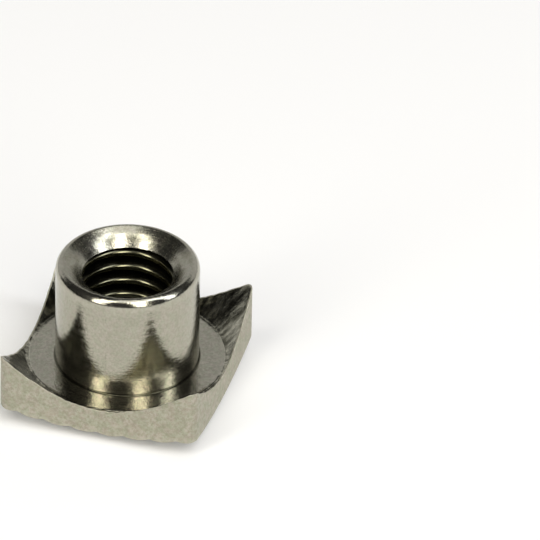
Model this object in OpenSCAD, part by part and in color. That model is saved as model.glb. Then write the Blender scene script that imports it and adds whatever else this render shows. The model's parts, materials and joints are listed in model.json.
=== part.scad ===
// Square-flanged threaded nut, one solid piece of steel.
// A plain round barrel stands on a square flange. The flange's top is spot-faced
// flat round the barrel and dished, rising at its four corners. Its underside is
// a shallow dome cut into parallel ribs that run along X.
// The bore is bevelled and countersunk. Its thread is drawn as a row of level grooves
// with the thread's section and pitch.

/* [Barrel] */
// Outer radius of the barrel
barrel_radius = 5.35; // [5:0.05:5.8]
// Height of the barrel above the spot face
barrel_height = 8.35; // [6:0.25:12]
// Rounding of the barrel's outer top edge
rim_round = 0.5; // [0.2:0.05:0.6]
// Concave fillet where the barrel meets the spot face
base_fillet = 0.2; // [0.1:0.05:0.6]

/* [Bore] */
// Inner radius of the M8 thread
bore_radius = 3.32; // [3:0.02:3.6]
// Outer radius of the M8 thread
thread_radius = 4; // [3.8:0.02:4.1]
// Pitch of the thread
thread_pitch = 1.25; // [1:0.05:1.5]
// Depth of the uppermost groove below the barrel's end
thread_start = 2.25; // [2.1:0.05:2.6]
// Radius of the countersink's outer edge
mouth_radius = 4.1; // [3.8:0.05:4.3]
// Depth of the countersink at each end
countersink_depth = 0.78; // [0.5:0.02:1.1]
// Radius of the bevel's outer edge, round the countersink at the barrel's end
bevel_radius = 4.75; // [4.4:0.05:4.8]
// Depth of the bevel at the countersink's edge
bevel_depth = 0.37; // [0.1:0.01:0.5]

/* [Flange] */
// Width of the square flange across its flats
flange_width = 15.2; // [14.8:0.1:17]
// Rounding of the flange's four upright edges
corner_round = 0.8; // [0.4:0.1:1.4]
// Radius of the flat spot face round the barrel
spot_radius = 7.3; // [7.1:0.05:7.4]
// Slope of the dish from the spot face up to the corners, in degrees
dish_angle = 46; // [35:1:50]
// Concave blend between the spot face and the dish
dish_blend = 0.45; // [0.3:0.05:0.6]

/* [Underside] */
// Depth of the dome's lowest point below the spot face
dome_depth = 2.85; // [2.5:0.05:4]
// Radius of the dome
dome_radius = 39; // [32:1:50]
// Distance from one rib to the next
rib_pitch = 2.05; // [1.7:0.05:2.4]
// Depth of the notches between the ribs
rib_depth = 0.2; // [0.12:0.02:0.26]

/* [Hidden] */
$fn = 128;
cut_past = 1;
half_flange = flange_width / 2;
reach = half_flange * sqrt(2) + cut_past;
dish_tangent = dish_blend * tan(dish_angle / 2);
dish_start = spot_radius + dish_tangent;
dome_center = dome_radius - dome_depth;
ribs_a_side = ceil(half_flange / rib_pitch);
rib_radius = (pow(rib_pitch / 2, 2) + pow(rib_depth, 2)) / (2 * rib_depth);
rib_center_radius = dome_radius - rib_radius;
foot = sqrt(pow(dome_radius, 2) - pow(mouth_radius, 2)) - dome_center;

// Half section of everything turned about the bore's axis. The outline has a chord
// at each concave blend, and a circle then hollows it to the true arc.
module turned_section() {
    difference() {
        union() {
            polygon([
                [0, -dome_depth - cut_past],
                [reach, -dome_depth - cut_past],
                [reach, (reach - dish_start) * tan(dish_angle)],
                [dish_start + dish_tangent * cos(dish_angle), dish_tangent * sin(dish_angle)],
                [spot_radius, 0],
                [barrel_radius + base_fillet, 0],
                [barrel_radius, base_fillet],
                [barrel_radius, barrel_height - rim_round],
                [barrel_radius - rim_round, barrel_height],
                [0, barrel_height]]);
            translate([barrel_radius - rim_round, barrel_height - rim_round]) circle(r = rim_round);
        }
        translate([barrel_radius + base_fillet, base_fillet]) circle(r = base_fillet);
        translate([spot_radius, dish_blend]) circle(r = dish_blend);
    }
}

// Square outline with rounded corners.
module flange_plan() {
    straight = flange_width - 2 * corner_round;
    square([flange_width, straight], center = true);
    square([straight, flange_width], center = true);
    for (sx = [-1, 1], sy = [-1, 1])
        translate([sx * straight / 2, sy * straight / 2]) circle(r = corner_round);
}

// The dome is a row of ribs along X. Each rib's section is an arc that touches the
// dome at its crest, and all of them turn about one axis through the dome's centre.
module ribbed_dome() {
    outermost_lean = asin(rib_pitch * (ribs_a_side + 0.5) / dome_radius);
    translate([0, 0, dome_center]) rotate([90, 0, 0]) rotate_extrude() {
        for (side = [-1, 1], i = [0 : ribs_a_side]) {
            lean = side * asin(rib_pitch * (i + 0.5) / dome_radius);
            translate(rib_center_radius * [cos(lean), sin(lean)]) circle(r = rib_radius);
        }
        translate([0, -reach]) square([rib_center_radius * cos(outermost_lean), 2 * reach]);
    }
}

// Cone that widens upward to its outer radius at height zero, and runs on above it.
module flare(inner, outer, depth) {
    slope = (outer - inner) / depth;
    translate([0, 0, -depth])
        cylinder(r1 = inner, r2 = outer + cut_past * slope, h = depth + cut_past);
}

// One groove between two crests, with flanks at 30 degrees and a flat root.
module thread_groove() {
    inner = bore_radius - cut_past;
    root = thread_pitch / 16;
    mouth = root + (thread_radius - inner) * tan(30);
    rotate_extrude()
        polygon([[inner, -mouth], [thread_radius, -root], [thread_radius, root], [inner, mouth]]);
}

module bore() {
    translate([0, 0, -foot - cut_past])
        cylinder(r = bore_radius, h = foot + barrel_height + 2 * cut_past);
    translate([0, 0, barrel_height]) flare(mouth_radius, bevel_radius, bevel_depth);
    translate([0, 0, barrel_height - bevel_depth]) flare(bore_radius, mouth_radius, countersink_depth);
    translate([0, 0, -foot]) mirror([0, 0, 1]) flare(bore_radius, mouth_radius, countersink_depth);
    for (z = [barrel_height - thread_start : -thread_pitch : -foot])
        translate([0, 0, z]) thread_groove();
}

// The origin is on the axis at the height of the lowest ribs, which the nut stands on.
module nut() {
    color([0.72, 0.71, 0.68])
    translate([0, 0, foot])
    difference() {
        intersection() {
            rotate_extrude() turned_section();
            translate([0, 0, -dome_depth - cut_past])
                linear_extrude(barrel_height + dome_depth + 2 * cut_past) flange_plan();
            ribbed_dome();
        }
        bore();
    }
}

nut();
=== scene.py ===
import json
import math
import bmesh
import bpy
import numpy as np
from mathutils import Matrix, Vector


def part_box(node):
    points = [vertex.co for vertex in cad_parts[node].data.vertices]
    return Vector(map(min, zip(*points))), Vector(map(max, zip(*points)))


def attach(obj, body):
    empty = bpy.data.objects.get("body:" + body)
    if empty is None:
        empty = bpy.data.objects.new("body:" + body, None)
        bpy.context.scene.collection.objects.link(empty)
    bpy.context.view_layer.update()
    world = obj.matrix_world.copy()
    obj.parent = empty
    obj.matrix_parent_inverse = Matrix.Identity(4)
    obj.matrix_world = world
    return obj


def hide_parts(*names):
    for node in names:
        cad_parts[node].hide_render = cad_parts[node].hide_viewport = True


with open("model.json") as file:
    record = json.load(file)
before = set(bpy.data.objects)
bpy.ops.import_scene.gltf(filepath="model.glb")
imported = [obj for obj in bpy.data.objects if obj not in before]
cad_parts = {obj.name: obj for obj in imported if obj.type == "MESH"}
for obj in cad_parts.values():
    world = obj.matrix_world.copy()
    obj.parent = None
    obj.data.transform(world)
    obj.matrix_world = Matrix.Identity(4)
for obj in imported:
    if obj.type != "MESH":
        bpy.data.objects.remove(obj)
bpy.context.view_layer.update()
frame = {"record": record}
mounts = {m["name"]: m for m in frame["record"]["mounts"]}
mm = 0.001

# Sizes in millimetres. The heights count from the spot face, and threadEnd from the lowest ribs.
# The thread's two shares are of its pitch, from the middle of a crest.
nut = {
    "flangeHalf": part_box("nut")[1].x / mm,
    "cornerRound": 0.8,
    "edgeBreak": 0.12,
    "burr": 0.05,
    "burrFade": 0.5,
    "spotRadius": 7.3,
    "dishAngle": 46.0,
    "dishBlend": 0.45,
    "barrelRadius": mounts["barrel"]["dims"]["r_mm"],
    "barrelHeight": (mounts["barrel_end"]["pos_m"][2] - mounts["spot_face"]["pos_m"][2]) / mm,
    "foot": mounts["spot_face"]["pos_m"][2] / mm,
    "spotLip": 0.035,
    "spotInset": 0.06,
    "footGap": 0.12,
    "wallGap": 0.15,
    "rimRound": 0.58,
    "rimDrop": 0.72,
    "baseFillet": 0.07,
    "domeDepth": 2.85,
    "domeRadius": 39.0,
    "ribPitch": 2.05,
    "ribDepth": 0.2,
    "bevelRadius": 4.75,
    "bevelDepth": 0.37,
    "bevelSoft": 0.35,
    "endFlat": 0.05,
    "endSoft": 0.045,
    "mouthRadius": 4.1,
    "sinkDepth": 0.78,
    "lipRadius": 3.4,
    "mouthBreak": 0.06,
    "threadInner": mounts["thread"]["dims"]["r_mm"],
    "threadOuter": 4.0,
    "threadPitch": 1.25,
    "threadStart": 2.084,
    "threadEnd": 0.35,
    "crestShare": 0.125,
    "rootShare": 0.4375,
    "columns": 240,
    "rowsPerTurn": 20,
    "rowSnap": 0.005,
}


class Shell:
    # Collects vertices, quads and triangles, each with the number of its finish.
    def __init__(self):
        self.points, self.quads, self.triangles, self.count = [], [], [], 0
        self.quadFinish, self.triangleFinish, self.wearAndShade = [], [], []

    def add(self, points, wearAndShade=0.0):
        # Adds an array of points and returns their numbers in the same shape.
        # The value given with the points is 1 on a rubbed edge, 0 on open surfaces and -1 in a hollow,
        # which the finishes darken as painted shade.
        flat = np.asarray(points, float).reshape(-1, 3)
        numbers = np.arange(self.count, self.count + len(flat)).reshape(np.shape(points)[:-1])
        self.points.append(flat)
        self.wearAndShade.append(np.broadcast_to(wearAndShade, numbers.shape).ravel())
        self.count += len(flat)
        return numbers

    def addQuads(self, quads, finish):
        # A quad with two equal neighbours becomes a triangle, and one with two such pairs is dropped.
        quads = np.asarray(quads).reshape(-1, 4)
        same = quads == np.roll(quads, -1, axis=1)
        self.quads.append(quads[same.sum(1) == 0])
        self.quadFinish.append(np.full((same.sum(1) == 0).sum(), finish))
        single = same.sum(1) == 1
        kept = quads[single][~same[single]].reshape(-1, 3)
        self.addTriangles(kept, finish)

    def addTriangles(self, triangles, finish):
        self.triangles.append(np.asarray(triangles).reshape(-1, 3))
        self.triangleFinish.append(np.full(len(self.triangles[-1]), finish))

    def rows(self, numbers, finish):
        # Quads between neighbouring closed rings, where numbers has one ring in each row.
        after = np.roll(numbers, -1, axis=1)
        self.addQuads(np.stack([numbers[:-1], after[:-1], after[1:], numbers[1:]], -1), finish)

    def zip(self, ringA, anglesA, ringB, anglesB, finish):
        # Triangles between two closed rings that are sampled at different, rising angles.
        angles = np.concatenate([anglesA, anglesB])
        fromA = np.concatenate([np.ones(len(anglesA), bool), np.zeros(len(anglesB), bool)])
        order = np.argsort(angles, kind="stable")
        fromA = fromA[order]
        seenA, seenB = np.cumsum(fromA), np.cumsum(~fromA)
        a = ringA[(seenA - 1) % len(ringA)]
        b = ringB[(seenB - 1) % len(ringB)]
        olderA = ringA[(seenA - 2) % len(ringA)]
        olderB = ringB[(seenB - 2) % len(ringB)]
        self.addTriangles(np.stack([olderA, a, b], -1)[fromA], finish)
        self.addTriangles(np.stack([olderB, a, b], -1)[~fromA], finish)

    def build(self, name, materials):
        points = np.concatenate(self.points)
        quads, triangles = np.concatenate(self.quads), np.concatenate(self.triangles)
        loops = np.concatenate([quads.ravel(), triangles.ravel()]).astype(np.int32)
        sizes = np.concatenate([np.full(len(quads), 4), np.full(len(triangles), 3)])
        starts = np.concatenate([[0], np.cumsum(sizes)[:-1]])
        finishes = np.concatenate(self.quadFinish + self.triangleFinish)
        mesh = bpy.data.meshes.new(name)
        mesh.vertices.add(len(points))
        mesh.loops.add(len(loops))
        mesh.polygons.add(len(sizes))
        mesh.vertices.foreach_set("co", (points * mm).astype(np.float32).ravel())
        mesh.loops.foreach_set("vertex_index", loops)
        mesh.polygons.foreach_set("loop_start", starts.astype(np.int32))
        mesh.polygons.foreach_set("loop_total", sizes.astype(np.int32))
        for material in materials:
            mesh.materials.append(material)
        mesh.polygons.foreach_set("material_index", finishes.astype(np.int32))
        wearAndShadeRows = mesh.attributes.new("wearAndShade", "FLOAT", "POINT")
        wearAndShadeRows.data.foreach_set("value", np.concatenate(self.wearAndShade).astype(np.float32))
        mesh.update(calc_edges=True)
        mesh.validate()
        piece = bpy.data.objects.new(name, mesh)
        bpy.context.scene.collection.objects.link(piece)
        return piece


def dishHeight(r):
    # Flat inside the spot radius, then a concave arc, then a straight cone.
    angle = math.radians(nut["dishAngle"])
    blend, spot = nut["dishBlend"], nut["spotRadius"]
    tangent = blend * math.tan(angle / 2)
    out = np.clip(r - spot, 0, blend * math.sin(angle))
    arc = blend - np.sqrt(blend ** 2 - out ** 2)
    cone = (r - spot - tangent) * math.tan(angle)
    return np.where(r < spot + blend * math.sin(angle), arc, cone)


def domeHeight(x, y):
    # Each rib's section across X is an arc; the highest of them is turned about the dome's centre.
    pitch, depth, radius = nut["ribPitch"], nut["ribDepth"], nut["domeRadius"]
    ribRadius = ((pitch / 2) ** 2 + depth ** 2) / (2 * depth)
    nearest = np.floor(np.asarray(y) / pitch) + 0.5
    reach = np.full(np.shape(y), -1e9)
    for step in (-1, 0, 1):
        lean = np.arcsin((nearest + step) * pitch / radius)
        across = y - (radius - ribRadius) * np.sin(lean)
        arc = (radius - ribRadius) * np.cos(lean) + np.sqrt(np.clip(ribRadius ** 2 - across ** 2, 0, None))
        reach = np.maximum(reach, arc)
    return radius - nut["domeDepth"] - np.sqrt(reach ** 2 - np.asarray(x) ** 2)


def outwardNormal(x, y):
    # Normal of a rounded square's outline at points on it.
    core = nut["flangeHalf"] - nut["cornerRound"]
    qx, qy = np.abs(x) - core, np.abs(y) - core
    corner = (qx > 0) & (qy > 0)
    nx = np.where(corner, qx, np.where(qx > qy, 1.0, 0.0)) * np.sign(x)
    ny = np.where(corner, qy, np.where(qx > qy, 0.0, 1.0)) * np.sign(y)
    length = np.hypot(nx, ny)
    return nx / length, ny / length


def edgeArc(start, corner, end, steps):
    # Quadratic curve that rounds a corner, as rings from start to end without its first ring.
    t = np.linspace(0, 1, steps + 1)[1:, None, None]
    return (1 - t) ** 2 * start + 2 * t * (1 - t) * corner + t ** 2 * end


def ring(x, y, z):
    return np.stack(np.broadcast_arrays(x, y, z), -1)


def undersideGrid(hole):
    # A grid whose lines follow the ribs. Points next to the outline or the bore are moved onto it.
    inner = nut["flangeHalf"] - nut["edgeBreak"]
    core = nut["flangeHalf"] - nut["cornerRound"]
    cornerRadius = nut["cornerRound"] - nut["edgeBreak"]
    fraction = np.array([0, 0.03, 0.08, 0.16, 0.25, 0.34, 0.42, 0.5, 0.58, 0.66, 0.75, 0.84, 0.92, 0.97])
    outlineGap, holeGap, holeBand, cornerGap = 0.02, 0.045, 1.0, 0.04
    turns = math.ceil(core / nut["ribPitch"])
    ys = ((np.arange(-turns, turns)[:, None] + fraction) * nut["ribPitch"]).ravel()
    ys = ys[np.abs(ys) < core - cornerGap]
    edge = np.linspace(core, inner, 9)
    ys = np.concatenate([-edge[::-1], ys, edge])
    xs = np.concatenate([-edge[::-1], np.linspace(-core, core, 82)[1:-1], edge])
    x, y = np.meshgrid(xs, ys, indexing="ij")
    qx, qy = np.abs(x) - core, np.abs(y) - core
    cornerZone = (qx > 0) & (qy > 0)
    fromOutline = np.where(cornerZone, np.hypot(qx, qy) - cornerRadius,
                           np.maximum(np.abs(x), np.abs(y)) - inner)
    r = np.hypot(x, y)
    fromHole = hole - r
    inside = (fromOutline < -outlineGap) & (fromHole < -holeGap)
    onHole = ~inside & (fromHole > -holeBand)
    scale = np.where(onHole, hole / np.maximum(r, 1e-6), 1.0)
    stretch = cornerRadius / np.maximum(np.hypot(qx, qy), 1e-6)
    onCorner = ~inside & ~onHole & cornerZone
    px = np.where(onCorner, np.sign(x) * (core + qx * stretch), x * scale)
    py = np.where(onCorner, np.sign(y) * (core + qy * stretch), y * scale)
    cells = np.stack([inside[:-1, :-1], inside[1:, :-1], inside[1:, 1:], inside[:-1, 1:]], -1)
    kept = cells.any(-1)
    numbers = np.arange(x.size).reshape(x.shape)
    quads = np.stack([numbers[:-1, :-1], numbers[1:, :-1], numbers[1:, 1:], numbers[:-1, 1:]], -1)[kept]
    used = np.unique(quads)
    renumber = np.full(x.size, -1)
    renumber[used] = np.arange(len(used))
    flags = np.where(inside, 0, np.where(onHole, 1, 2)).ravel()[used]
    return px.ravel()[used], py.ravel()[used], renumber[quads], flags


def splitQuads(px, py, quads):
    # Cuts each quad along the diagonal that leaves the larger of the two smallest areas.
    def area(a, b, c):
        return (px[b] - px[a]) * (py[c] - py[a]) - (px[c] - px[a]) * (py[b] - py[a])
    a, b, c, d = quads.T
    first = np.minimum(area(a, b, c), area(a, c, d))
    second = np.minimum(area(a, b, d), area(b, c, d))
    useFirst = (first >= second)[:, None]
    one = np.where(useFirst, np.stack([a, b, c], -1), np.stack([a, b, d], -1))
    two = np.where(useFirst, np.stack([a, c, d], -1), np.stack([b, c, d], -1))
    return np.concatenate([one, two])


def threadRadius(z, angle):
    # Internal thread: a flat crest, straight flanks and a narrow flat root.
    turn = (z / nut["threadPitch"] - (angle + nut["threadStart"]) / (2 * math.pi)) % 1.0
    away = np.minimum(turn, 1 - turn)
    crest, root = nut["crestShare"], nut["rootShare"]
    rise = np.clip((away - crest) / (root - crest), 0, 1)
    return nut["threadInner"] + (nut["threadOuter"] - nut["threadInner"]) * rise


def softened(points, reach, steps):
    # Rounds each inner corner of an open outline with a quadratic curve that starts and ends at its reach.
    points = np.asarray(points, float)
    out = [points[:1]]
    for before, here, after, length in zip(points, points[1:], points[2:], reach):
        start = here + (before - here) * length / np.linalg.norm(before - here)
        end = here + (after - here) * length / np.linalg.norm(after - here)
        t = np.linspace(0, 1, steps + 1)[:, None]
        out.append((1 - t) ** 2 * start + 2 * t * (1 - t) * here + t ** 2 * end)
    return np.concatenate(out + [points[-1:]])


def profileRings(profile, angles):
    # Turns a half section of radius and height about the bore's axis.
    radius, height = np.asarray(profile, float).T
    return ring(radius[:, None] * np.cos(angles), radius[:, None] * np.sin(angles), height[:, None])


def arcProfile(center, wide, start, end, steps, tall=None):
    # Points on an arc of a circle, or of an ellipse where tall is given too.
    turn = np.radians(np.linspace(start, end, steps + 1))
    return np.stack([center[0] + wide * np.cos(turn), center[1] + (tall or wide) * np.sin(turn)], -1)


turned, pressed, dished, ribbed, cut = range(5)


def makeNut(materials):
    shell = Shell()
    edge, broken = nut["edgeBreak"], nut["mouthBreak"]
    hole = nut["mouthRadius"] + broken

    # underside
    px, py, quads, flags = undersideGrid(hole)
    # Rib valleys get negative values, which paint shade into them, and rib crests positive ones for wear.
    under = shell.add(ring(px, py, domeHeight(px, py)), -0.8 * np.cos(2 * math.pi * py / nut["ribPitch"]))
    whole = (flags[quads] == 0).all(1)
    shell.addQuads(under[quads[whole]], ribbed)
    shell.addTriangles(under[splitQuads(px, py, quads[~whole])], ribbed)

    def loopOf(flag):
        # Boundary points by rising angle.
        onEdge = np.flatnonzero(flags == flag)
        angle = np.arctan2(py[onEdge], px[onEdge]) % (2 * math.pi)
        order = np.argsort(angle)
        return onEdge[order], angle[order]

    outline, outlineAngle = loopOf(2)
    mouth, mouthAngle = loopOf(1)
    print("underside", len(px), "points")

    # upright faces of the flange, with both of their edges rounded
    inX, inY = px[outline], py[outline]
    nx, ny = outwardNormal(inX, inY)
    outX, outY = inX + nx * edge, inY + ny * edge
    lowCorner = ring(outX, outY, domeHeight(outX, outY))
    # The upper edge was sheared, so it rises and falls a little.
    burr = nut["burr"] * (0.6 * np.sin(23 * outlineAngle + 3 * np.sin(7 * outlineAngle))
                          + 0.4 * np.sin(71 * outlineAngle + 2 * np.sin(13 * outlineAngle)))
    highCorner = ring(outX, outY, dishHeight(np.hypot(outX, outY)) + burr)
    down = np.array([0, 0, -edge])
    lowEdge = edgeArc(ring(inX, inY, domeHeight(inX, inY)), lowCorner, lowCorner - down, 4)
    share = np.linspace(0, 1, 13)[1:-1, None, None]
    wall = (1 - share) * (lowCorner - down) + share * (highCorner + down)
    dishEnd = ring(inX, inY, dishHeight(np.hypot(inX, inY)) + burr)
    highStart = (highCorner + down)[None]
    highEdge = edgeArc(highCorner + down, highCorner, dishEnd, 4)
    wearAndShadeRows = np.concatenate([np.full(4, 0.7), np.zeros(11), [0.0], [0.8, 1.0, 0.9, 0.5]])
    wallRings = shell.add(np.concatenate([lowEdge, wall, highStart, highEdge]), wearAndShadeRows[:, None])
    shell.rows(np.concatenate([under[outline][None], wallRings]), pressed)

    # dish, from the upright faces in to the spot face
    spot = nut["spotRadius"]
    reach = np.hypot(inX, inY)
    blendWidth = nut["dishBlend"] * math.sin(math.radians(nut["dishAngle"]))
    blendEnd = spot + np.minimum(blendWidth, 0.5 * (reach - spot))
    outer = reach - np.linspace(0, 1, 21)[1:, None] * (reach - blendEnd)
    inner = blendEnd - np.linspace(0, 1, 7)[1:, None] * (blendEnd - spot)
    radii = np.concatenate([outer, inner])
    lift = nut["spotLip"] * np.clip(1 - (radii - spot) / (2 * nut["spotLip"]), 0, 1)
    lift = lift + burr * np.clip(1 - (reach - radii) / nut["burrFade"], 0, 1)
    dish = ring(radii * np.cos(outlineAngle), radii * np.sin(outlineAngle), dishHeight(radii) + lift)
    wearAndShadeRows = np.zeros(len(radii))
    wearAndShadeRows[-1] = 1.0
    dishRings = shell.add(dish, wearAndShadeRows[:, None])
    shell.rows(np.concatenate([wallRings[-1:], dishRings]), dished)

    # everything turned, from the spot face's edge to the thread's upper end
    angles = np.arange(nut["columns"]) * 2 * math.pi / nut["columns"]
    barrel, fillet, top = nut["barrelRadius"], nut["baseFillet"], nut["barrelHeight"]
    rim, drop = nut["rimRound"], nut["rimDrop"]
    slope = nut["sinkDepth"] / (nut["mouthRadius"] - nut["threadInner"])
    bevelFoot = top - nut["bevelDepth"]
    lip = bevelFoot - (nut["mouthRadius"] - nut["lipRadius"]) * slope
    parts = [
        (np.array([[r, 0] for r in np.linspace(spot - nut["spotInset"],
                                               barrel + fillet + nut["footGap"], 9)]), 0.0),
        # The fillet's rows get -1, which paints shade into the corner at the barrel's foot.
        (arcProfile((barrel + fillet, fillet), fillet, 270, 180, 8), -1.0),
        (np.array([[barrel, z] for z in np.linspace(fillet + nut["wallGap"], top - drop, 18)[:-1]]), 0.0),
        (arcProfile((barrel - rim, top - drop), rim, 0, 90, 14, drop), 0.35),
        (softened([(nut["bevelRadius"] + nut["endFlat"], top), (nut["bevelRadius"], top),
                   (nut["mouthRadius"], bevelFoot), (nut["lipRadius"], lip)],
                  (nut["endSoft"], nut["bevelSoft"]), 10)[1:], 0.0),
    ]
    profile = np.concatenate([rows for rows, wearAndShadeRows in parts])
    wearAndShadeRows = np.concatenate([np.full(len(rows), wearAndShadeRows) for rows, wearAndShadeRows in parts])
    wearAndShadeRows[-1] = 1.0
    turnedRings = shell.add(profileRings(profile, angles), wearAndShadeRows[:, None])
    shell.rows(turnedRings, turned)
    shell.zip(dishRings[-1], outlineAngle, turnedRings[0], angles, turned)

    # thread on a grid whose rows climb with the helix; rows past either end stop on one ring
    upper = lip
    lower = -nut["foot"] + nut["threadEnd"]
    turns = math.ceil((upper - lower) / nut["threadPitch"]) + 2
    row = np.arange(turns * nut["rowsPerTurn"] + 1) / nut["rowsPerTurn"] * nut["threadPitch"]
    start = lower - nut["threadPitch"]
    climb = nut["threadPitch"] * angles / (2 * math.pi)
    heights = start + row[:, None] + climb
    z = np.clip(heights, lower, upper)
    mouthLimit = nut["mouthRadius"] - np.minimum(bevelFoot - z, z + nut["foot"]) / slope
    radius = np.maximum(threadRadius(z, angles), mouthLimit)
    crest = 1 - 2 * (radius - nut["threadInner"]) / (nut["threadOuter"] - nut["threadInner"])
    numbers = shell.add(ring(radius * np.cos(angles), radius * np.sin(angles), z), np.clip(crest, -1, 1))
    lowest = numbers[0]
    numbers = np.where(heights <= lower + nut["rowSnap"], lowest, numbers)
    ledge = numbers[-1]
    shell.rows(np.stack([turnedRings[-1], ledge]), cut)
    numbers = np.where(heights >= upper - nut["rowSnap"], ledge, numbers)
    wrapped = np.concatenate([numbers[nut["rowsPerTurn"]:, :1], np.repeat(ledge[:1][None],
                              nut["rowsPerTurn"], 0)])
    across = np.concatenate([numbers, wrapped], 1)
    shell.addQuads(np.stack([across[:-1, :-1], across[:-1, 1:], across[1:, 1:], across[1:, :-1]], -1), cut)

    # lower countersink, cut through the ribs
    cosine, sine = np.cos(mouthAngle), np.sin(mouthAngle)
    rc = np.full(len(mouth), nut["mouthRadius"])
    for _ in range(30):
        rc = nut["mouthRadius"] - (domeHeight(rc * cosine, rc * sine) + nut["foot"]) / slope
    coneHeight = (nut["mouthRadius"] - rc) * slope - nut["foot"]
    deeper = rc - broken
    mouthEdge = edgeArc(ring(px[mouth], py[mouth], domeHeight(px[mouth], py[mouth])),
                        ring(rc * cosine, rc * sine, coneHeight),
                        ring(deeper * cosine, deeper * sine, coneHeight + broken * slope), 3)
    mouthRings = shell.add(mouthEdge, 0.8)
    shell.rows(np.concatenate([under[mouth][None], mouthRings]), turned)
    shell.zip(mouthRings[-1], mouthAngle, lowest, angles, turned)

    shell.points = [points + [0, 0, nut["foot"]] for points in shell.points]
    piece = shell.build("nutBody", materials)
    finishMesh(piece)
    return piece


def finishMesh(piece):
    # Drops unused points, closes seams, turns all faces outward and marks the sharp edges.
    work = bmesh.new()
    work.from_mesh(piece.data)
    bmesh.ops.remove_doubles(work, verts=work.verts, dist=1e-7)
    bmesh.ops.delete(work, geom=[v for v in work.verts if not v.link_faces], context="VERTS")
    bmesh.ops.recalc_face_normals(work, faces=work.faces)
    openEdges = sum(1 for e in work.edges if len(e.link_faces) != 2)
    print(piece.name, len(work.verts), "points", len(work.faces), "faces", openEdges, "open edges",
          "volume", work.calc_volume() * 1e9)
    work.to_mesh(piece.data)
    work.free()
    piece.data.polygons.foreach_set("use_smooth", [True] * len(piece.data.polygons))
    piece.data.set_sharp_from_angle(angle=math.radians(35))


class FinishNodes:
    # Short calls for building one metal finish. Positions are read in millimetres on Object coordinates.
    def __init__(self, name):
        self.material = bpy.data.materials.new(name)
        self.material.use_nodes = True
        self.tree = self.material.node_tree
        self.shader = self.tree.nodes["Principled BSDF"]
        self.shader.inputs["Metallic"].default_value = 1.0
        place = self.node("ShaderNodeTexCoord").outputs["Object"]
        self.place = self.node("ShaderNodeVectorMath", operation="SCALE", Vector=place,
                               Scale=1 / mm).outputs[0]
        self.x, self.y, self.z = self.node("ShaderNodeSeparateXYZ", Vector=self.place).outputs
        self.r = self.maths("SQRT", self.maths("ADD", self.maths("MULTIPLY", self.x, self.x),
                                               self.maths("MULTIPLY", self.y, self.y)))
        self.angle = self.maths("ARCTAN2", self.y, self.x)
        self.wearAndShade = self.node("ShaderNodeAttribute", attribute_name="wearAndShade").outputs["Fac"]

    def node(self, kind, **inputs):
        made = self.tree.nodes.new(kind)
        for key in ("operation", "data_type", "attribute_name"):
            if key in inputs:
                setattr(made, key, inputs.pop(key))
        for key, value in inputs.items():
            self.feed(made.inputs[key], value)
        return made

    def feed(self, socket, value):
        if isinstance(value, bpy.types.NodeSocket):
            self.tree.links.new(value, socket)
        else:
            socket.default_value = value

    def maths(self, operation, a, b=0.0):
        made = self.node("ShaderNodeMath", operation=operation)
        self.feed(made.inputs[0], a)
        self.feed(made.inputs[1], b)
        return made.outputs[0]

    def combine(self, x, y, z):
        return self.node("ShaderNodeCombineXYZ", X=x, Y=y, Z=z).outputs[0]

    def noise(self, vector, scale, detail=3.0, roughness=0.55):
        return self.node("ShaderNodeTexNoise", Vector=vector, Scale=scale, Detail=detail,
                         Roughness=roughness).outputs["Fac"]

    def span(self, value, low, high, start=0.0, end=1.0):
        # Maps low to start and high to end, and holds there.
        made = self.node("ShaderNodeMapRange", Value=value)
        for socket, number in zip(("From Min", "From Max", "To Min", "To Max"), (low, high, start, end)):
            self.feed(made.inputs[socket], number)
        return made.outputs[0]

    def blend(self, share, first, second):
        made = self.node("ShaderNodeMix", data_type="RGBA")
        self.feed(made.inputs[0], share)
        self.feed(made.inputs[6], first)
        self.feed(made.inputs[7], second)
        return made.outputs[2]

    def bump(self, height, depth, before=None):
        # The height runs from 0 to 1, and depth is in millimetres.
        made = self.node("ShaderNodeBump", Height=height, Strength=1.0, Distance=depth * mm)
        if before is not None:
            self.feed(made.inputs["Normal"], before)
        return made.outputs[0]

    def edges(self):
        # 1 on rubbed edges, broken up so that the wear isn't even.
        broken = self.span(self.noise(self.place, 2.5), 0.3, 0.6)
        return self.maths("MULTIPLY", self.span(self.wearAndShade, 0.0, 1.0), broken)

    def paintedHollowShade(self):
        # Painted shade: 1 in hollows, where the colour is darkened as shade.
        return self.span(self.wearAndShade, -0.2, -1.0)

    def mottle(self, tone, level, share):
        # Drifts the colour between a pinkish and a greenish grey, as thin plating does.
        pinkish = (level * 1.1, level * 0.98, level * 0.84, 1)
        greenish = (level * 0.92, level * 0.95, level * 0.72, 1)
        drift = self.span(self.noise(self.place, 1.9, 3.0, 0.6), 0.4, 0.6)
        return self.blend(share, tone, self.blend(drift, pinkish, greenish))

    def finish(self, color, roughness, normal):
        self.feed(self.shader.inputs["Base Color"], color)
        self.feed(self.shader.inputs["Roughness"], roughness)
        self.feed(self.shader.inputs["Normal"], normal)
        return self.material


def steelTone(level, warmth=0.0):
    # Zinc-like grey with a faint olive cast; warmth moves it toward yellow.
    return (level, level * (0.965 - 0.01 * warmth), level * (0.8 - 0.25 * warmth), 1)


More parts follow.
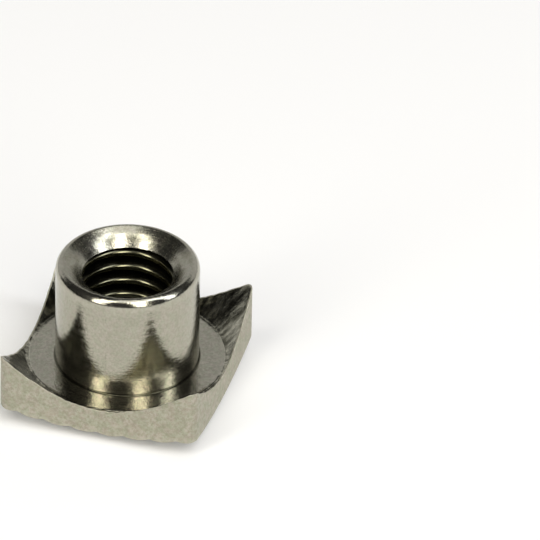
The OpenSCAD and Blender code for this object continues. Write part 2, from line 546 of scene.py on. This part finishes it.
def makeTurnedSteel():
    # Lathe marks run round the axis, so their noise depends on radius and height only.
    f = FinishNodes("turnedSteel")
    spotHeight = nut["foot"]
    around = f.combine(f.r, f.maths("MULTIPLY", f.angle, 0.12), f.z)
    marks = f.noise(around, 5.0, 4.0, 0.65)
    ripples = f.noise(f.combine(f.r, f.maths("MULTIPLY", f.angle, 2.5), f.z), 1.6, 3.0)
    patches = f.noise(f.place, 0.6, 3.0)
    grain = f.noise(f.place, 5.5, 3.0, 0.6)
    tone = f.blend(f.span(patches, 0.35, 0.65), steelTone(0.39), steelTone(0.44))
    tone = f.mottle(tone, 0.42, 0.45)
    tone = f.blend(f.span(grain, 0.38, 0.62, 0.0, 0.45), tone, steelTone(0.29, 0.2))
    # The two cones at each mouth are duller and more stained than the barrel.
    cones = f.span(f.r, nut["bevelRadius"] + 0.15, nut["bevelRadius"] - 0.1)
    stains = f.maths("MULTIPLY", f.span(f.noise(f.place, 1.4, 4.0, 0.65), 0.42, 0.6), cones)
    tone = f.blend(f.maths("MULTIPLY", stains, 0.5), tone, steelTone(0.26, 0.5))
    tone = f.blend(f.edges(), tone, steelTone(0.52))
    # Painted shade: the fillet at the barrel's foot is darkened almost to black.
    tone = f.blend(f.paintedHollowShade(), tone, steelTone(0.1, 0.6))
    rough = f.maths("ADD", f.span(marks, 0.3, 0.7, 0.09, 0.17), f.span(grain, 0.35, 0.65, 0.0, 0.08))
    rough = f.maths("ADD", rough, f.span(cones, 0.0, 1.0, 0.0, 0.03))
    rough = f.maths("ADD", rough, f.span(stains, 0.0, 1.0, 0.0, 0.06))
    # The spot face is more uneven than the barrel.
    dents = f.maths("MULTIPLY", f.noise(f.place, 1.8, 3.0, 0.6),
                    f.span(f.z, spotHeight + 0.06, spotHeight + 0.01))
    normal = f.bump(dents, 0.02, f.bump(grain, 0.008, f.bump(marks, 0.006, f.bump(ripples, 0.024))))
    return f.finish(tone, rough, normal)


def makePressedSteel():
    # Sheared faces: matte, with fine pits and a speckle.
    f = FinishNodes("pressedSteel")
    speckle = f.noise(f.place, 4.0, 3.0, 0.65)
    patches = f.noise(f.place, 1.5, 3.0)
    pits = f.noise(f.place, 12.0, 2.0)
    tone = f.blend(f.span(speckle, 0.38, 0.62), steelTone(0.32, 0.3), steelTone(0.54))
    tone = f.blend(f.span(patches, 0.4, 0.6, 0.0, 0.45), tone, steelTone(0.34, 0.5))
    tone = f.mottle(tone, 0.44, 0.55)
    tone = f.blend(f.maths("MULTIPLY", f.edges(), 0.7), tone, steelTone(0.6))
    rough = f.span(speckle, 0.3, 0.7, 0.66, 0.5)
    normal = f.bump(pits, 0.012, f.bump(speckle, 0.035))
    return f.finish(tone, rough, normal)


def makeDishedSteel():
    # The drawn slope, with streaks that run outward from the barrel; its dark tone is painted shade and
    # dark reflection.
    f = FinishNodes("dishedSteel")
    along = f.combine(f.maths("MULTIPLY", f.angle, 8.0), f.maths("MULTIPLY", f.r, 0.45), 0.0)
    streaks = f.noise(along, 1.7, 4.0, 0.65)
    grain = f.noise(f.place, 6.0, 3.0)
    waves = f.noise(f.place, 0.9, 2.0)
    # Painted shade and dark reflection: the slope's base tone is near black.
    tone = f.blend(f.span(streaks, 0.4, 0.62), steelTone(0.1, 0.5), steelTone(0.54, 0.1))
    tone = f.blend(f.span(grain, 0.4, 0.7, 0.0, 0.5), tone, steelTone(0.16, 0.3))
    tone = f.blend(f.edges(), tone, steelTone(0.5))
    rough = f.span(streaks, 0.3, 0.7, 0.12, 0.24)
    normal = f.bump(grain, 0.01, f.bump(streaks, 0.02, f.bump(waves, 0.05)))
    return f.finish(tone, rough, normal)


def makeRibbedSteel():
    # Pressed ribs: bright worn crests, valleys darkened as painted shade, faint scratches along the ribs.
    f = FinishNodes("ribbedSteel")
    scratches = f.noise(f.combine(f.maths("MULTIPLY", f.x, 0.2), f.y, 0.0), 8.0, 4.0, 0.7)
    patches = f.noise(f.place, 0.8, 3.0)
    speckle = f.noise(f.place, 5.5, 3.0, 0.65)
    tone = f.blend(f.span(patches, 0.35, 0.65), steelTone(0.34, 0.2), steelTone(0.42))
    tone = f.blend(f.span(speckle, 0.4, 0.7, 0.0, 0.4), tone, steelTone(0.28, 0.3))
    tone = f.blend(f.edges(), tone, steelTone(0.52))
    # Painted shade in the rib valleys.
    tone = f.blend(f.maths("MULTIPLY", f.paintedHollowShade(), 0.7), tone, steelTone(0.16, 0.5))
    rough = f.span(scratches, 0.3, 0.7, 0.5, 0.34)
    normal = f.bump(speckle, 0.015, f.bump(scratches, 0.01))
    return f.finish(tone, rough, normal)


def makeThreadSteel():
    # Cut threads, painted near black as the shade deep in the bore, lighter on the rubbed crests.
    f = FinishNodes("threadSteel")
    marks = f.noise(f.combine(f.r, f.maths("MULTIPLY", f.angle, 0.3), f.z), 9.0, 4.0, 0.7)
    shadeDrift = f.noise(f.place, 1.1, 3.0)
    # Painted shade: the whole thread is near black, drifting a little.
    tone = f.blend(f.span(shadeDrift, 0.35, 0.65), steelTone(0.03, 0.8), steelTone(0.07, 0.6))
    tone = f.blend(f.span(f.wearAndShade, 0.7, 1.0), tone, steelTone(0.26, 0.7))
    rough = f.span(marks, 0.3, 0.7, 0.14, 0.26)
    return f.finish(tone, rough, f.bump(marks, 0.005))


finishes = [makeTurnedSteel(), makePressedSteel(), makeDishedSteel(), makeRibbedSteel(), makeThreadSteel()]
print("finishes", [material.name for material in finishes])
nutBody = makeNut(finishes)
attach(nutBody, "root")
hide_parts("nut")

# Camera: its direction, its distance from the spot face and where the spot face's centre shows.
camera = {
    "azimuth": 285.94,
    "elevation": 34.81,
    "roll": 1.2,
    "lens": 487.4,
    "sensor": 36.0,
    "distance": 0.544,
    "spotPixel": (127.2, 354.0),
    "frame": 540,
}


def makeCamera():
    azimuth, elevation = math.radians(camera["azimuth"]), math.radians(camera["elevation"])
    forward = Vector((-math.sin(azimuth) * math.cos(elevation),
                      math.cos(azimuth) * math.cos(elevation), -math.sin(elevation)))
    level = Vector((math.cos(azimuth), math.sin(azimuth), 0))
    roll = math.radians(camera["roll"])
    above = level.cross(forward)
    right = level * math.cos(roll) + above * math.sin(roll)
    up = right.cross(forward)
    focal = camera["lens"] / camera["sensor"] * camera["frame"]
    middle = camera["frame"] / 2
    x = (camera["spotPixel"][0] - middle) / focal * camera["distance"]
    y = (middle - camera["spotPixel"][1]) / focal * camera["distance"]
    spot = Vector((0, 0, nut["foot"] * mm))
    place = spot - right * x - up * y - forward * camera["distance"]
    turn = Matrix((right, up, -forward)).transposed()
    data = bpy.data.cameras.new("camera")
    data.lens = camera["lens"]
    data.sensor_width = camera["sensor"]
    data.clip_start, data.clip_end = 0.01, 10
    item = bpy.data.objects.new("camera", data)
    item.matrix_world = Matrix.Translation(place) @ turn.to_4x4()
    bpy.context.scene.collection.objects.link(item)
    bpy.context.scene.camera = item


makeCamera()


# Soft panels: where each stands as seen from the nut, how wide and tall it looks from there in degrees,
# how far it is in metres, and how bright it shows where 1 is white.
warm, cool, white = (1.0, 0.97, 0.9), (0.93, 0.95, 1.0), (1, 1, 1)
lamps = {
    "leftLight": dict(azimuth=242, elevation=42, wide=15, tall=60, distance=0.5, level=6.1, color=warm),
    "frontLight": dict(azimuth=309, elevation=42, wide=16, tall=60, distance=0.5, level=6.1, color=warm),
    "rightLight": dict(azimuth=358, elevation=42, wide=14, tall=60, distance=0.5, level=5.0, color=cool),
    "topLight": dict(azimuth=350, elevation=84, wide=36, tall=28, distance=0.5, level=1.5, color=white),
    "backLight": dict(azimuth=106, elevation=24, wide=116, tall=44, distance=0.4, level=0.56, color=white),
}


def softLight(name, azimuth, elevation, wide, tall, distance, level, color):
    # A rectangular lamp that faces the nut. Its power is its brightness times pi times its area.
    a, e = math.radians(azimuth), math.radians(elevation)
    back = Vector((math.sin(a) * math.cos(e), -math.cos(a) * math.cos(e), math.sin(e)))
    data = bpy.data.lights.new(name, "AREA")
    data.shape = "RECTANGLE"
    data.size = 2 * distance * math.tan(math.radians(wide / 2))
    data.size_y = 2 * distance * math.tan(math.radians(tall / 2))
    data.energy = level * math.pi * data.size * data.size_y
    data.color = color
    item = bpy.data.objects.new(name, data)
    facing = back.to_track_quat("Z", "Y").to_matrix().to_4x4()
    item.matrix_world = Matrix.Translation(back * distance) @ facing
    bpy.context.scene.collection.objects.link(item)


for lampName, lamp in lamps.items():
    softLight(lampName, **lamp)
print("lamps", len(lamps))

# Floor and studio: the floor's half width is in metres, and the rest are shader values.
studio = {
    "floorHalf": 2,
    "floorTone": 0.8,
    "floorRoughness": 0.85,
    "floorSpecular": 0.2,
    "floorGlow": 0.12,
    "worldTone": 0.03,
}
wide = studio["floorHalf"]
floorMesh = bpy.data.meshes.new("floor")
floorMesh.from_pydata([(-wide, -wide, 0), (wide, -wide, 0), (wide, wide, 0), (-wide, wide, 0)],
                      [], [(0, 1, 2, 3)])
floor = bpy.data.objects.new("floor", floorMesh)
bpy.context.scene.collection.objects.link(floor)
floorFinish = bpy.data.materials.new("paleFloor")
floorFinish.use_nodes = True
floorTree = floorFinish.node_tree
floorShader = floorTree.nodes["Principled BSDF"]
floorShader.inputs["Base Color"].default_value = (*[studio["floorTone"]] * 3, 1)
floorShader.inputs["Roughness"].default_value = studio["floorRoughness"]
floorShader.inputs["Specular IOR Level"].default_value = studio["floorSpecular"]
# The floor glows a little for camera, glossy and transmission rays, so it shows white and keeps the shadow.
rays = floorTree.nodes.new("ShaderNodeLightPath")
anyRay = floorTree.nodes.new("ShaderNodeMath")
anyRay.operation = "MAXIMUM"
seenRay = floorTree.nodes.new("ShaderNodeMath")
seenRay.operation = "MAXIMUM"
glow = floorTree.nodes.new("ShaderNodeMath")
glow.operation = "MULTIPLY"
glow.inputs[1].default_value = studio["floorGlow"]
floorTree.links.new(rays.outputs["Is Camera Ray"], anyRay.inputs[0])
floorTree.links.new(rays.outputs["Is Glossy Ray"], anyRay.inputs[1])
floorTree.links.new(anyRay.outputs[0], seenRay.inputs[0])
floorTree.links.new(rays.outputs["Is Transmission Ray"], seenRay.inputs[1])
floorTree.links.new(seenRay.outputs[0], glow.inputs[0])
floorTree.links.new(glow.outputs[0], floorShader.inputs["Emission Strength"])
floorShader.inputs["Emission Color"].default_value = (1, 1, 1, 1)
floorMesh.materials.append(floorFinish)

world = bpy.data.worlds.new("studio")
world.use_nodes = True
background = world.node_tree.nodes["Background"]
background.inputs["Color"].default_value = (*[studio["worldTone"]] * 3, 1)
background.inputs["Strength"].default_value = 1.0
bpy.context.scene.world = world
bpy.context.scene.view_settings.view_transform = "Standard"
